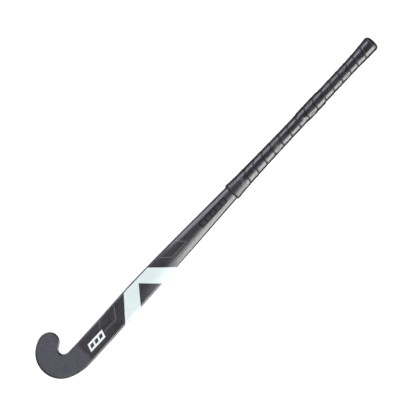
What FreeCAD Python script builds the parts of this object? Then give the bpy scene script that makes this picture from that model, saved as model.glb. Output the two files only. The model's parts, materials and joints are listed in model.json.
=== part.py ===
import FreeCAD, Part
import math
import os
import Sketcher

# Field hockey stick, right-handed, lying on its back. Millimetres.
# +X runs from the head to the butt, +Y toward the toe of the hook, +Z out of the playing face.
# Until each piece gets its Placement, x = 0 is the end of the head, y = 0 the shaft's middle
# and z = 0 the lowest point of the playing face.

DIMENSIONS = [
    ("stick_length", 925.4),
    ("head_length", 92.0),
    ("heel_edge_drop", 26.8),
    ("toe_edge_rise", 20.7),
    ("heel_sweep_radius", 104.4),
    ("hook_radius", 51.3),
    ("hook_y", 30.0),
    ("toe_back_radius", 57.8),
    ("toe_back_x", 55.8),
    ("toe_shoulder_radius", 26.2),
    ("toe_tip_radius", 19.6),
    ("toe_tip_x", 51.6),
    ("toe_tip_y", 61.5),
    ("crook_radius", 10.2),
    ("crook_x", 59.7),
    ("crook_y", 31.8),
    ("throat_radius", 15.5),
    ("blade_width", 47.5),
    ("blade_depth", 20.0),
    ("handle_width", 23.7),
    ("handle_depth", 26.0),
    ("taper_start", 200.0),
    ("taper_end", 715.0),
    ("face_edge_radius", 3.6),
    ("back_edge_radius", 10.0),
    ("handle_edge_radius", 11.0),
    ("deep_end", 520.0),
    ("crown_start", 150.0),
    ("crown_end", 480.0),
    ("back_crown_start", 400.0),
    ("back_crown_end", 640.0),
    ("face_crown_angle", 40.0),
    ("back_crown_angle", 30.0),
    ("side_shift", 0.3),
    ("side_shift_end", 270.0),
    ("bow_apex", 340.0),
    ("bow_depth", 20.0),
    ("handle_straight_start", 505.0),
    ("flare_start", 860.0),
    ("flare_growth", 5.2),
    ("shell_end", 917.0),
    ("offset_outer", 0.0),
    ("offset_cavity", -2.8),
    ("offset_film", 0.25),
    ("offset_coat", -3.7),
    ("offset_underlay", 0.4),
    ("offset_band", 1.5),
    ("offset_grip", 1.9),
    ("offset_grip_over_band", 3.0),
    ("offset_finish", 2.15),
    ("offset_spigot", -3.1),
    ("offset_spigot_bore", -5.2),
    ("coat_thickness", 0.25),
    ("web_thickness", 1.6),
    ("foam_end", 600.0),
    ("grip_start", 515.0),
    ("finish_end", 540.0),
    ("band_start", 716.0),
    ("band_end", 772.0),
    ("band_edge_run", 4.0),
    ("wrap_edge_run", 3.0),
    ("cap_edge_radius", 8.0),
    ("spigot_length", 24.0),
    ("chevron_x", 256.5),
    ("chevron_top_half", 34.6),
    ("chevron_foot_outer_half", 83.2),
    ("chevron_foot_inner_half", 38.0),
    ("chevron_top_y", 20.6),
    ("chevron_notch_y", 12.4),
    ("chevron_foot_y", -30.0),
    ("panel_near_half", 65.0),
    ("panel_near_low_half", 83.0),
    ("lower_panel_far_low_half", 117.5),
    ("lower_panel_far_half", 106.8),
    ("lower_panel_top_y", 18.4),
    ("lower_panel_low_y", -3.6),
    ("lower_panel_bend_half", 118.8),
    ("lower_panel_bend_y", 7.0),
    ("upper_panel_far_low_half", 126.0),
    ("upper_panel_far_half", 112.5),
    ("upper_panel_top_y", 16.6),
    ("upper_panel_low_y", -1.2),
    ("outline_width", 0.8),
    ("outline_slant", 1.1),
    ("outline_near_corner", 0.4),
    ("outline_far_corner", 1.6),
    ("decal_low_z", -6.0),
    ("decal_reach", 40.0),
    ("emblem_low_x", 93.0),
    ("emblem_low_y", -12.5),
    ("emblem_low_length", 41.0),
    ("emblem_low_height", 15.6),
    ("emblem_low_slant", 6.0),
    ("emblem_low_line", 4.2),
    ("emblem_low_line_slant", 1.2),
    ("emblem_low_slot", 8.066),
    ("emblem_top_x", 424.0),
    ("emblem_top_y", -6.0),
    ("emblem_top_height", 13.2),
    ("emblem_top_line", 2.6),
    ("emblem_top_window", 11.4),
]

# Cross-sections of the shaft, by distance from the end of the head. The first is the joint
# with the head and the last the end of the laminate, under the butt cap.
SHAFT_STATIONS = [92, 140, 190, 240, 290, 345, 400, 455, 510, 570, 630, 715, 790, 860, 880, 900, 917]
MIN_VOLUME = 1.0
TOUCH = 0.001
SLOPE_STEP = 0.01
FLARE_POWER = 1.3
HALFWAY_DOWN_FLANGE = 5.0

doc = FreeCAD.newDocument("field_hockey_stick")
sheet = doc.addObject("Spreadsheet::Sheet", "dims")
size = {}


def put(name, value):
    """Write one driving dimension to the next row of the sheet, under its alias."""
    row = len(size) + 1
    sheet.set("A%d" % row, name)
    sheet.set("B%d" % row, "%.5f" % value)
    sheet.setAlias("B%d" % row, name)
    size[name] = round(value, 5)


for dimension_name, dimension_value in DIMENSIONS:
    put(dimension_name, dimension_value)


def ramp(x, start, end):
    """Smooth step from 0 at start to 1 at end."""
    u = min(1.0, max(0.0, (x - start) / (end - start)))
    return u * u * (3.0 - 2.0 * u)


def face_height(x):
    """Height of the playing face: parabolas meeting at the bow's apex, then a straight handle."""
    apex = size["bow_apex"]
    if x < apex:
        joint = size["head_length"]
        rise_at_joint = size["bow_depth"] / (1.0 + 2.0 * joint / (apex - joint))
        return rise_at_joint * ((apex - x) / (apex - joint)) ** 2
    straight = size["handle_straight_start"]
    curved = straight - apex
    straight_run = size["stick_length"] - straight
    factor = size["bow_depth"] / (curved * curved + 2.0 * curved * straight_run)
    if x < straight:
        return factor * (x - apex) ** 2
    return factor * (curved * curved + 2.0 * curved * (x - straight))


def face_slope(x):
    """Inclination of the playing face along the stick, in degrees."""
    rise = face_height(x + SLOPE_STEP) - face_height(x - SLOPE_STEP)
    return math.degrees(math.atan(rise / (2.0 * SLOPE_STEP)))


def add_station(x):
    """Enter the section at x in the sheet and give back its name there."""
    name = "at_%d" % x
    if name + "_width" in size:
        return name
    taper = ramp(x, size["taper_start"], size["taper_end"])
    flare_run = max(0.0, x - size["flare_start"]) / (size["shell_end"] - size["flare_start"])
    flare = size["flare_growth"] * flare_run ** FLARE_POWER
    crown = ramp(x, size["crown_start"], size["crown_end"])
    back_crown = ramp(x, size["back_crown_start"], size["back_crown_end"])
    deepening = ramp(x, size["head_length"], size["deep_end"])
    width = size["blade_width"] + taper * (size["handle_width"] - size["blade_width"]) + flare
    depth = size["blade_depth"] + deepening * (size["handle_depth"] - size["blade_depth"]) + flare
    handle_edge = size["handle_edge_radius"]
    face_edge = size["face_edge_radius"] + flare / 2.0
    face_edge += taper * (handle_edge - size["face_edge_radius"])
    back_edge = size["back_edge_radius"] + flare / 2.0
    back_edge += taper * (handle_edge - size["back_edge_radius"])
    head_middle = (size["toe_edge_rise"] - size["heel_edge_drop"]) / 2.0
    shift = ramp(x, size["head_length"], size["side_shift_end"])
    put(name + "_width", width)
    put(name + "_depth", depth)
    put(name + "_face_edge", face_edge)
    put(name + "_back_edge", back_edge)
    put(name + "_face_angle", size["face_crown_angle"] * crown)
    put(name + "_back_angle", size["back_crown_angle"] * back_crown)
    for side, edge in (("_face", face_edge), ("_back", back_edge)):
        angle = size[name + side + "_angle"]
        if angle > 0.0:
            crown_radius = edge + (width / 2.0 - edge) / math.sin(math.radians(angle))
            put(name + side + "_crown", crown_radius)
    put(name + "_x", x)
    put(name + "_y", head_middle + shift * (size["side_shift"] - head_middle))
    put(name + "_z", face_height(x))
    put(name + "_slope", face_slope(x))
    return name


for station_x in SHAFT_STATIONS:
    add_station(station_x)
put("joint_slope", -face_slope(size["head_length"]))


def origin_plane(body, role):
    """One of a body's own origin planes."""
    return next(f for f in body.Origin.OriginFeatures if f.Role == role)


def new_body(name):
    return doc.addObject("PartDesign::Body", name)


def new_sketch(body, name, role):
    sketch = body.newObject("Sketcher::SketchObject", name)
    sketch.AttachmentSupport = [(origin_plane(body, role), "")]
    sketch.MapMode = "FlatFace"
    return sketch


def bind(sketch, kind, arguments, value, expression):
    """Add a dimension to a sketch and tie it to the sheet."""
    index = sketch.addConstraint(Sketcher.Constraint(kind, *arguments, value))
    sketch.setExpression("Constraints[%d]" % index, expression)


def arc(centre_x, centre_y, radius, start, end):
    """Counter-clockwise arc between two polar angles in degrees."""
    centre = FreeCAD.Vector(centre_x, centre_y, 0)
    circle = Part.Circle(centre, FreeCAD.Vector(0, 0, 1), radius)
    return Part.ArcOfCircle(circle, math.radians(start), math.radians(end))


def line(start, end):
    return Part.LineSegment(FreeCAD.Vector(start[0], start[1], 0), FreeCAD.Vector(end[0], end[1], 0))


def section_sketch(body, station, offset):
    """Closed section across the shaft: flat or crowned face, straight sides, rounded back."""
    grow = size[offset]
    half = size[station + "_width"] / 2.0 + grow
    depth = size[station + "_depth"]
    sketch = new_sketch(body, body.Name + "_" + station, "YZ_Plane")
    sketch.AttachmentOffset = FreeCAD.Placement(
        FreeCAD.Vector(size[station + "_y"], size[station + "_z"], size[station + "_x"]),
        FreeCAD.Rotation(FreeCAD.Vector(1, 0, 0), -size[station + "_slope"]),
    )
    for axis, cell in (("x", "_y"), ("y", "_z"), ("z", "_x")):
        sketch.setExpression("AttachmentOffset.Base." + axis, "dims." + station + cell)

    corner_x = {}
    corner_y = {}
    radius = {}
    for side, sign, level in (("_face", 1.0, 0.0), ("_back", -1.0, -depth)):
        edge = size[station + side + "_edge"]
        angle = math.radians(size[station + side + "_angle"])
        corner_x[side] = half - grow - edge
        corner_y[side] = level - sign * edge
        if angle > 0.0:
            crown = size[station + side + "_crown"]
            corner_y[side] = level - sign * (crown - (crown - edge) * math.cos(angle))
        radius[side] = edge + grow

    face_angle = size[station + "_face_angle"]
    back_angle = size[station + "_back_angle"]
    if face_angle > 0.0:
        face_crown = size[station + "_face_crown"]
        top = arc(0, -face_crown, face_crown + grow, 90 - face_angle, 90 + face_angle)
    else:
        top = line((corner_x["_face"], grow), (-corner_x["_face"], grow))
    if back_angle > 0.0:
        back_crown = size[station + "_back_crown"]
        bottom = arc(0, back_crown - depth, back_crown + grow, 270 - back_angle, 270 + back_angle)
    else:
        bottom = line((-corner_x["_back"], -depth - grow), (corner_x["_back"], -depth - grow))
    upper = (corner_x["_face"], corner_y["_face"], radius["_face"])
    lower = (corner_x["_back"], corner_y["_back"], radius["_back"])
    sketch.addGeometry([
        top,
        arc(-upper[0], upper[1], upper[2], 90 + face_angle, 180),
        line((-half, upper[1]), (-half, lower[1])),
        arc(-lower[0], lower[1], lower[2], 180, 270 - back_angle),
        bottom,
        arc(lower[0], lower[1], lower[2], 270 + back_angle, 360),
        line((half, lower[1]), (half, upper[1])),
        arc(upper[0], upper[1], upper[2], 0, 90 - face_angle),
    ], False)
    for first in range(8):
        sketch.addConstraint(Sketcher.Constraint("Tangent", first, 2, (first + 1) % 8, 1))
    for side_line in (2, 6):
        sketch.addConstraint(Sketcher.Constraint("Vertical", side_line))
    growth = " + dims." + offset
    cell = "dims." + station
    bind(sketch, "DistanceX", (2, 1, -1, 1), half, cell + "_width / 2" + growth)
    bind(sketch, "DistanceX", (-1, 1, 6, 1), half, cell + "_width / 2" + growth)
    for corner, side in ((1, "_face"), (7, "_face"), (3, "_back"), (5, "_back")):
        bind(sketch, "Radius", (corner,), radius[side], cell + side + "_edge" + growth)
    if face_angle > 0.0:
        sketch.addConstraint(Sketcher.Constraint("PointOnObject", 0, 3, -2))
        bind(sketch, "Radius", (0,), face_crown + grow, cell + "_face_crown" + growth)
        bind(sketch, "DistanceY", (0, 3, -1, 1), face_crown, cell + "_face_crown")
    else:
        sketch.addConstraint(Sketcher.Constraint("Horizontal", 0))
        bind(sketch, "DistanceY", (-1, 1, 0, 1), grow, "dims." + offset)
    if back_angle > 0.0:
        sketch.addConstraint(Sketcher.Constraint("PointOnObject", 4, 3, -2))
        bind(sketch, "Radius", (4,), back_crown + grow, cell + "_back_crown" + growth)
        bind(sketch, "DistanceY", (-1, 1, 4, 3), back_crown - depth,
             cell + "_back_crown - " + cell + "_depth")
    else:
        sketch.addConstraint(Sketcher.Constraint("Horizontal", 4))
        bind(sketch, "DistanceY", (4, 1, -1, 1), depth + grow, cell + "_depth" + growth)
    return sketch


def add_loft(body, sections, ruled):
    """Solid through section sketches, added to the body."""
    loft = body.newObject("PartDesign::AdditiveLoft", body.Name + "_loft")
    loft.Profile = sections[0]
    loft.Sections = sections[1:]
    loft.Ruled = ruled
    return loft


def polar(centre, radius, angle):
    return (
        centre[0] + radius * math.cos(math.radians(angle)),
        centre[1] + radius * math.sin(math.radians(angle)),
    )


def direction(start, end):
    """Polar angle in degrees of the way from one point to another."""
    return math.degrees(math.atan2(end[1] - start[1], end[0] - start[0]))


def head_sketch(body, name, offset, lift):
    """Outline of the hook, lifted off the plane of the playing face: a chain of tangent arcs.

    Origin at the joint with the shaft. The centres follow from the tangencies."""
    grow = size[offset]
    length = size["head_length"]
    low = -size["heel_edge_drop"]
    high = size["toe_edge_rise"]
    hook = (size["hook_radius"] - length, size["hook_y"])
    tip = (size["toe_tip_x"] - length, size["toe_tip_y"])
    crook = (size["crook_x"] - length, size["crook_y"])
    heel_y = low + size["heel_sweep_radius"]
    heel_gap = size["heel_sweep_radius"] - size["hook_radius"]
    heel = (hook[0] + math.sqrt(heel_gap ** 2 - (heel_y - hook[1]) ** 2), heel_y)
    back_x = size["toe_back_x"] - length
    back_gap = size["toe_back_radius"] - size["hook_radius"]
    back = (back_x, hook[1] - math.sqrt(back_gap ** 2 - (back_x - hook[0]) ** 2))
    throat_gap = size["throat_radius"] - size["crook_radius"]
    throat_y = high + size["throat_radius"]
    throat = (crook[0] + math.sqrt(throat_gap ** 2 - (throat_y - crook[1]) ** 2), throat_y)
    reach_back = size["toe_back_radius"] - size["toe_shoulder_radius"]
    reach_tip = size["toe_shoulder_radius"] - size["toe_tip_radius"]
    span = math.dist(back, tip)
    along = (reach_back ** 2 - reach_tip ** 2 + span ** 2) / (2.0 * span)
    aside = math.degrees(math.acos(along / reach_back))
    shoulder = polar(back, reach_back, direction(back, tip) + aside)
    both_radii = size["toe_tip_radius"] + size["crook_radius"]
    undercut = direction(tip, crook) + math.degrees(math.acos(both_radii / math.dist(tip, crook)))

    heel_end = direction(heel, hook) + 360.0
    hook_end = direction(back, hook)
    back_end = direction(back, shoulder)
    shoulder_end = direction(shoulder, tip)
    crook_end = direction(throat, crook) + 360.0
    heel_r = size["heel_sweep_radius"] + grow
    tip_r = size["toe_tip_radius"] + grow
    crook_r = size["crook_radius"] - grow
    low_y = low - grow
    high_y = high + grow
    tip_exit = polar(tip, tip_r, undercut)
    crook_entry = polar(crook, crook_r, undercut + 180.0)

    sketch = new_sketch(body, name, "XY_Plane")
    tilt = FreeCAD.Rotation(FreeCAD.Vector(0, 1, 0), size["joint_slope"])
    joint = FreeCAD.Vector(length, 0, face_height(length))
    sketch.AttachmentOffset = FreeCAD.Placement(joint + tilt * FreeCAD.Vector(0, 0, lift), tilt)
    sketch.addGeometry([
        line((0, low_y), (heel[0], low_y)),
        arc(heel[0], heel[1], heel_r, heel_end, 270),
        arc(hook[0], hook[1], size["hook_radius"] + grow, hook_end, heel_end),
        arc(back[0], back[1], size["toe_back_radius"] + grow, back_end, hook_end),
        arc(shoulder[0], shoulder[1], size["toe_shoulder_radius"] + grow, shoulder_end, back_end),
        arc(tip[0], tip[1], tip_r, undercut, shoulder_end),
        line(tip_exit, crook_entry),
        arc(crook[0], crook[1], crook_r, undercut + 180.0, crook_end),
        arc(throat[0], throat[1], size["throat_radius"] - grow, crook_end, 270),
        line((throat[0], high_y), (0, high_y)),
        line((0, high_y), (0, low_y)),
    ], False)
    # Each piece of the chain as (start, end) vertex numbers; the convex arcs run backwards.
    ends = [(1, 2)] + [(2, 1)] * 5 + [(1, 2)] * 5
    for first in range(9):
        sketch.addConstraint(
            Sketcher.Constraint("Tangent", first, ends[first][1], first + 1, ends[first + 1][0])
        )
    sketch.addConstraint(Sketcher.Constraint("Coincident", 9, 2, 10, 1))
    sketch.addConstraint(Sketcher.Constraint("Coincident", 10, 2, 0, 1))
    sketch.addConstraint(Sketcher.Constraint("Horizontal", 0))
    sketch.addConstraint(Sketcher.Constraint("Horizontal", 9))
    sketch.addConstraint(Sketcher.Constraint("Vertical", 10))
    sketch.addConstraint(Sketcher.Constraint("PointOnObject", 10, 1, -2))
    bind(sketch, "DistanceY", (0, 1, -1, 1), -low_y, "dims.heel_edge_drop + dims." + offset)
    bind(sketch, "DistanceY", (-1, 1, 9, 2), high_y, "dims.toe_edge_rise + dims." + offset)
    arcs = ["heel_sweep", "hook", "toe_back", "toe_shoulder", "toe_tip"]
    for index, arc_name in enumerate(arcs):
        value = size[arc_name + "_radius"] + grow
        bind(sketch, "Radius", (index + 1,), value, "dims." + arc_name + "_radius + dims." + offset)
    for index, arc_name in ((7, "crook"), (8, "throat")):
        value = size[arc_name + "_radius"] - grow
        bind(sketch, "Radius", (index,), value, "dims." + arc_name + "_radius - dims." + offset)
    for index, x_cell in ((2, "hook_radius"), (3, "toe_back_x"), (5, "toe_tip_x"), (7, "crook_x")):
        value = length - size[x_cell]
        bind(sketch, "DistanceX", (index, 3, -1, 1), value, "dims.head_length - dims." + x_cell)
    for index, y_cell in ((2, "hook_y"), (5, "toe_tip_y"), (7, "crook_y")):
        bind(sketch, "DistanceY", (-1, 1, index, 3), size[y_cell], "dims." + y_cell)
    return sketch


def outline_edges(feature, plane, level):
    """Edges of the head that lie at one height over a plane, without the one at the joint."""
    names = []
    for index, edge in enumerate(feature.Shape.Edges):
        points = [plane.multVec(p) for p in edge.discretize(3)]
        at_level = all(abs(p.z - level) < TOUCH for p in points)
        at_joint = all(abs(p.x) < TOUCH for p in points)
        if at_level and not at_joint:
            names.append("Edge%d" % (index + 1))
    return names


def round_outline(body, base, outline, level, radius, expression):
    """Fillet the rim of the head at one height over its outline sketch."""
    plane = outline.Placement.inverse()
    fillet = body.newObject("PartDesign::Fillet", body.Name + "_rim")
    fillet.Base = (base, outline_edges(base, plane, level))
    fillet.Radius = radius
    fillet.setExpression("Radius", expression)
    doc.recompute()
    return fillet


def stick_body(name, offset, stations):
    """Head and shaft in one body, grown or shrunk all over by an offset."""
    body = new_body(name)
    grow = size[offset]
    growth = " + dims." + offset
    depth = size["blade_depth"]
    outline = head_sketch(body, name + "_outline", offset, grow)
    pad = body.newObject("PartDesign::Pad", name + "_head")
    pad.Profile = outline
    pad.Length = depth + 2.0 * grow
    pad.Reversed = True
    pad.setExpression("Length", "dims.blade_depth + 2 * dims." + offset)
    doc.recompute()
    back_rim = round_outline(body, pad, outline, -depth - 2.0 * grow,
                             size["back_edge_radius"] + grow, "dims.back_edge_radius" + growth)
    round_outline(body, back_rim, outline, 0.0,
                  size["face_edge_radius"] + grow, "dims.face_edge_radius" + growth)
    sections = [section_sketch(body, "at_%d" % x, offset) for x in stations]
    doc.recompute()
    add_loft(body, sections, False)
    doc.recompute()
    return body


def shaft_body(name, sections_offsets, ruled):
    """Stretch of shaft through sections given as (station, offset) pairs."""
    body = new_body(name)
    sections = []
    for station, offset in sections_offsets:
        sections.append(section_sketch(body, station, offset))
    doc.recompute()
    add_loft(body, sections, ruled)
    doc.recompute()
    return body


def boolean(kind, name, base, tool):
    """Part boolean of two objects."""
    result = doc.addObject("Part::" + kind, name)
    result.Base = base
    result.Tool = tool
    doc.recompute()
    return result


def slab(name, low, high, cells):
    """Box between two corners; cells maps a property to its expression in the sheet."""
    box = doc.addObject("Part::Box", name)
    box.Length = high[0] - low[0]
    box.Width = high[1] - low[1]
    box.Height = high[2] - low[2]
    box.Placement = FreeCAD.Placement(FreeCAD.Vector(*low), FreeCAD.Rotation())
    for prop, expression in cells.items():
        box.setExpression(prop, expression)
    return box


def total(terms):
    """Value and sheet expression of a sum written as ((factor, cell), ...)."""
    value = sum(factor * size[cell] for factor, cell in terms)
    expression = " + ".join("%g * dims.%s" % term for term in terms)
    return value, expression


def outline_sketch(body, name, loops):
    """Closed polygons whose corners are (x terms, y terms) read from the sheet."""
    sketch = new_sketch(body, name, "XY_Plane")
    for loop in loops:
        corners = [(total(x_terms), total(y_terms)) for x_terms, y_terms in loop]
        first = sketch.GeometryCount
        count = len(corners)
        for index in range(count):
            start = corners[index]
            end = corners[(index + 1) % count]
            sketch.addGeometry(line((start[0][0], start[1][0]), (end[0][0], end[1][0])), False)
        for index in range(count):
            following = first + (index + 1) % count
            sketch.addConstraint(
                Sketcher.Constraint("Coincident", first + index, 2, following, 1)
            )
            x_value, x_expression = corners[index][0]
            y_value, y_expression = corners[index][1]
            bind(sketch, "DistanceX", (-1, 1, first + index, 1), x_value, x_expression)
            bind(sketch, "DistanceY", (-1, 1, first + index, 1), y_value, y_expression)
    return sketch


def decal(name, skin, loops):
    """Thin film on the face side of the shaft, cut from a skin by its outlines."""
    body = new_body(name + "_outline")
    sketch = outline_sketch(body, name + "_sketch", loops)
    sketch.AttachmentOffset = FreeCAD.Placement(
        FreeCAD.Vector(0, 0, size["decal_low_z"]), FreeCAD.Rotation()
    )
    pad = body.newObject("PartDesign::Pad", name + "_pad")
    pad.Profile = sketch
    pad.setExpression("Length", "dims.decal_reach")
    doc.recompute()
    return boolean("Common", name, skin, body)


# Outer form of the laminate, and the space inside its wall.
outer_form = stick_body("outer_form", "offset_outer", SHAFT_STATIONS)
cavity_form = stick_body("cavity_form", "offset_cavity", SHAFT_STATIONS)
laminate_shell = boolean("Cut", "laminate_shell", outer_form, cavity_form)

# Cores inside the wall: a head core, then twin foams either side of a web.
BEYOND = 200.0
joint_x = size["head_length"]
half_web = size["web_thickness"] / 2.0
foam_cells = {"Placement.Base.x": "dims.head_length", "Length": "dims.foam_end - dims.head_length"}
head_block = slab("head_block", (-BEYOND, -BEYOND, -BEYOND), (joint_x, BEYOND, BEYOND),
                  {"Length": "dims.head_length + %g" % BEYOND})
toe_block = slab("toe_block", (joint_x, half_web, -BEYOND),
                 (size["foam_end"], BEYOND, BEYOND),
                 dict(foam_cells, **{"Placement.Base.y": "dims.web_thickness / 2"}))
web_block = slab("web_block", (joint_x, -half_web, -BEYOND),
                 (size["foam_end"], half_web, BEYOND),
                 dict(foam_cells, **{"Width": "dims.web_thickness"}))
heel_block = slab("heel_block", (joint_x, -BEYOND, -BEYOND),
                  (size["foam_end"], -half_web, BEYOND),
                  dict(foam_cells, **{"Width": "%g - dims.web_thickness / 2" % BEYOND}))
head_core = boolean("Common", "head_core", cavity_form, head_block)
foam_core_toe_side = boolean("Common", "foam_core_toe_side", cavity_form, toe_block)
foam_core_web = boolean("Common", "foam_core_web", cavity_form, web_block)
foam_core_heel_side = boolean("Common", "foam_core_heel_side", cavity_form, heel_block)

# Butt cap: a rounded flange over the end of the laminate and grip, with a hollow spigot.
end_station = "at_%d" % SHAFT_STATIONS[-1]
butt_cap = new_body("butt_cap")
flange = butt_cap.newObject("PartDesign::Pad", "flange")
flange.Profile = section_sketch(butt_cap, end_station, "offset_grip")
flange.setExpression("Length", "dims.stick_length - dims.shell_end")
doc.recompute()
rim = butt_cap.newObject("PartDesign::Fillet", "flange_rim")
rim_edges = []
for rim_index, rim_edge in enumerate(flange.Shape.Edges):
    if all(p.x > size["shell_end"] + HALFWAY_DOWN_FLANGE for p in rim_edge.discretize(3)):
        rim_edges.append("Edge%d" % (rim_index + 1))
rim.Base = (flange, rim_edges)
rim.setExpression("Radius", "dims.cap_edge_radius")
doc.recompute()
for feature_kind, feature_name, feature_offset in (
    ("Pad", "spigot", "offset_spigot"),
    ("Pocket", "spigot_bore", "offset_spigot_bore"),
):
    feature_sketch = section_sketch(butt_cap, end_station, feature_offset)
    feature = butt_cap.newObject("PartDesign::" + feature_kind, feature_name)
    feature.Profile = feature_sketch
    feature.Reversed = feature_kind == "Pad"
    feature.setExpression("Length", "dims.spigot_length")
    doc.recompute()

# Grip: adhesive underlay, a raised band under the fingers, the wrap over both, and a
# finishing tape round its lower edge.
tape_stations = (size["grip_start"], size["finish_end"])
band_start = size["band_start"]
band_end = size["band_end"]
wrap_edge = size["wrap_edge_run"]
below_band = [570, 600, 635, 675, band_start - wrap_edge]
over_band = [band_start + wrap_edge, band_end - wrap_edge]
above_band = [band_end + wrap_edge, 820, 860, 880, 900, 917]
grip_stations = [*tape_stations, *below_band, *over_band, *above_band]
band_sections = [
    (band_start, "offset_underlay"),
    (band_start + size["band_edge_run"], "offset_band"),
    (band_end - size["band_edge_run"], "offset_band"),
    (band_end, "offset_underlay"),
]
underlay_form = shaft_body(
    "underlay_form", [(add_station(x), "offset_underlay") for x in grip_stations], True)
band_form = shaft_body(
    "band_form", [(add_station(x), offset) for x, offset in band_sections], True)
wrap_sections = []
for station_x in grip_stations:
    wrap_offset = "offset_grip_over_band" if station_x in over_band else "offset_grip"
    wrap_sections.append((add_station(station_x), wrap_offset))
wrap_form = shaft_body("wrap_form", wrap_sections, True)
finish_form = shaft_body(
    "finish_form", [(add_station(x), "offset_finish") for x in tape_stations], True)
grip_underlay = boolean("Cut", "grip_underlay", underlay_form, outer_form)
grip_build_up_band = boolean("Cut", "grip_build_up_band", band_form, underlay_form)
wrap_over_underlay = boolean("Cut", "wrap_over_underlay", wrap_form, underlay_form)
grip_wrap = boolean("Cut", "grip_wrap", wrap_over_underlay, band_form)
grip_finishing_tape = boolean("Cut", "grip_finishing_tape", finish_form, wrap_form)

# Matte coat on the flat of the head.
head_face_coat = new_body("head_face_coat")
coat = head_face_coat.newObject("PartDesign::Pad", "coat")
coat.Profile = head_sketch(head_face_coat, "coat_outline", "offset_coat", 0.0)
coat.setExpression("Length", "dims.coat_thickness")

# Films on the face side of the shaft, all mirrored about the middle of the chevron.
film_form = stick_body("film_form", "offset_film", SHAFT_STATIONS)
skin = boolean("Cut", "film_skin", film_form, outer_form)


def mirrored(side, *terms):
    """Distance from the chevron's middle toward the head (-1) or the butt (+1)."""
    return ((1.0, "chevron_x"),) + tuple((side * factor, cell) for factor, cell in terms)


def panel_side(side, where, inner):
    """Near edge and foot of a slanted panel beside the chevron, its edge line included or not."""
    line_in = 1.0 if inner else 0.0
    top = ((1.0, where + "_top_y"),)
    low = ((1.0, where + "_low_y"), (line_in, "outline_width"))
    return [
        (mirrored(side, (1.0, "panel_near_half"), (line_in, "outline_slant")), top),
        (mirrored(side, (1.0, "panel_near_low_half"), (line_in, "outline_near_corner")), low),
        (mirrored(side, (1.0, where + "_far_low_half"), (-line_in, "outline_far_corner")), low),
    ]


def far_top(side, where, inner):
    """Far upper corner of a panel."""
    line_in = 1.0 if inner else 0.0
    return (
        mirrored(side, (1.0, where + "_far_half"), (-line_in, "outline_slant")),
        ((1.0, where + "_top_y"),),
    )


def far_bend(inner):
    """Corner of the lower panel beside the white mark, where its far edge turns."""
    line_in = 1.0 if inner else 0.0
    return (
        mirrored(-1.0, (1.0, "lower_panel_bend_half"), (-line_in, "outline_slant")),
        ((1.0, "lower_panel_bend_y"),),
    )


chevron_corners = [
    (mirrored(-1.0, (1.0, "chevron_top_half")), ((1.0, "chevron_top_y"),)),
    (mirrored(1.0, (1.0, "chevron_top_half")), ((1.0, "chevron_top_y"),)),
    (mirrored(1.0, (1.0, "chevron_foot_outer_half")), ((1.0, "chevron_foot_y"),)),
    (mirrored(1.0, (1.0, "chevron_foot_inner_half")), ((1.0, "chevron_foot_y"),)),
    (mirrored(0.0, (1.0, "chevron_top_half")), ((1.0, "chevron_notch_y"),)),
    (mirrored(-1.0, (1.0, "chevron_foot_inner_half")), ((1.0, "chevron_foot_y"),)),
    (mirrored(-1.0, (1.0, "chevron_foot_outer_half")), ((1.0, "chevron_foot_y"),)),
]
chevron_decal = decal("chevron_decal", skin, [chevron_corners])
lower_rim = panel_side(-1.0, "lower_panel", False)
lower_inside = panel_side(-1.0, "lower_panel", True)
lower_film = lower_inside + [far_bend(True), far_top(-1.0, "lower_panel", True)]
lower_tick = [
    far_bend(False),
    far_top(-1.0, "lower_panel", False),
    far_top(-1.0, "lower_panel", True),
    far_bend(True),
]
upper_rim = panel_side(1.0, "upper_panel", False) + [far_top(1.0, "upper_panel", False)]
upper_film = panel_side(1.0, "upper_panel", True) + [far_top(1.0, "upper_panel", True)]
lower_carbon_film = decal("lower_carbon_film", skin, [lower_film])
upper_carbon_film = decal("upper_carbon_film", skin, [upper_film])
lower_outline_decal = decal("lower_outline_decal", skin, [lower_rim + lower_inside[::-1]])
lower_outline_tick = decal("lower_outline_tick", skin, [lower_tick])
upper_outline_decal = decal("upper_outline_decal", skin, [upper_rim + upper_film[::-1]])


def low_slot(index):
    """One slanted window of the mark near the head."""
    count = float(index)
    x_low = (
        (1.0, "emblem_low_x"),
        (count + 1.0, "emblem_low_line"),
        (count, "emblem_low_slot"),
        (1.0, "emblem_low_line_slant"),
    )
    x_high = x_low + ((1.0, "emblem_low_slant"), (-2.0, "emblem_low_line_slant"))
    across = ((1.0, "emblem_low_slot"),)
    low = ((1.0, "emblem_low_y"), (1.0, "emblem_low_line"))
    high = ((1.0, "emblem_low_y"), (1.0, "emblem_low_height"), (-1.0, "emblem_low_line"))
    return [(x_low, low), (x_low + across, low), (x_high + across, high), (x_high, high)]


def top_window(index):
    """One upright window of the mark below the grip."""
    count = float(index)
    left = (
        (1.0, "emblem_top_x"),
        (count + 1.0, "emblem_top_line"),
        (count, "emblem_top_window"),
    )
    right = left + ((1.0, "emblem_top_window"),)
    low = ((1.0, "emblem_top_y"), (1.0, "emblem_top_line"))
    high = ((1.0, "emblem_top_y"), (1.0, "emblem_top_height"), (-1.0, "emblem_top_line"))
    return [(left, low), (right, low), (right, high), (left, high)]


low_left = ((1.0, "emblem_low_x"),)
low_right = low_left + ((1.0, "emblem_low_length"),)
low_slant = ((1.0, "emblem_low_slant"),)
low_foot = ((1.0, "emblem_low_y"),)
low_head = low_foot + ((1.0, "emblem_low_height"),)
low_frame = [
    (low_left, low_foot),
    (low_right, low_foot),
    (low_right + low_slant, low_head),
    (low_left + low_slant, low_head),
]
LOW_SLOTS = 3
lower_emblem_decal = decal(
    "lower_emblem_decal", skin, [low_frame] + [low_slot(index) for index in range(LOW_SLOTS)])

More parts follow.
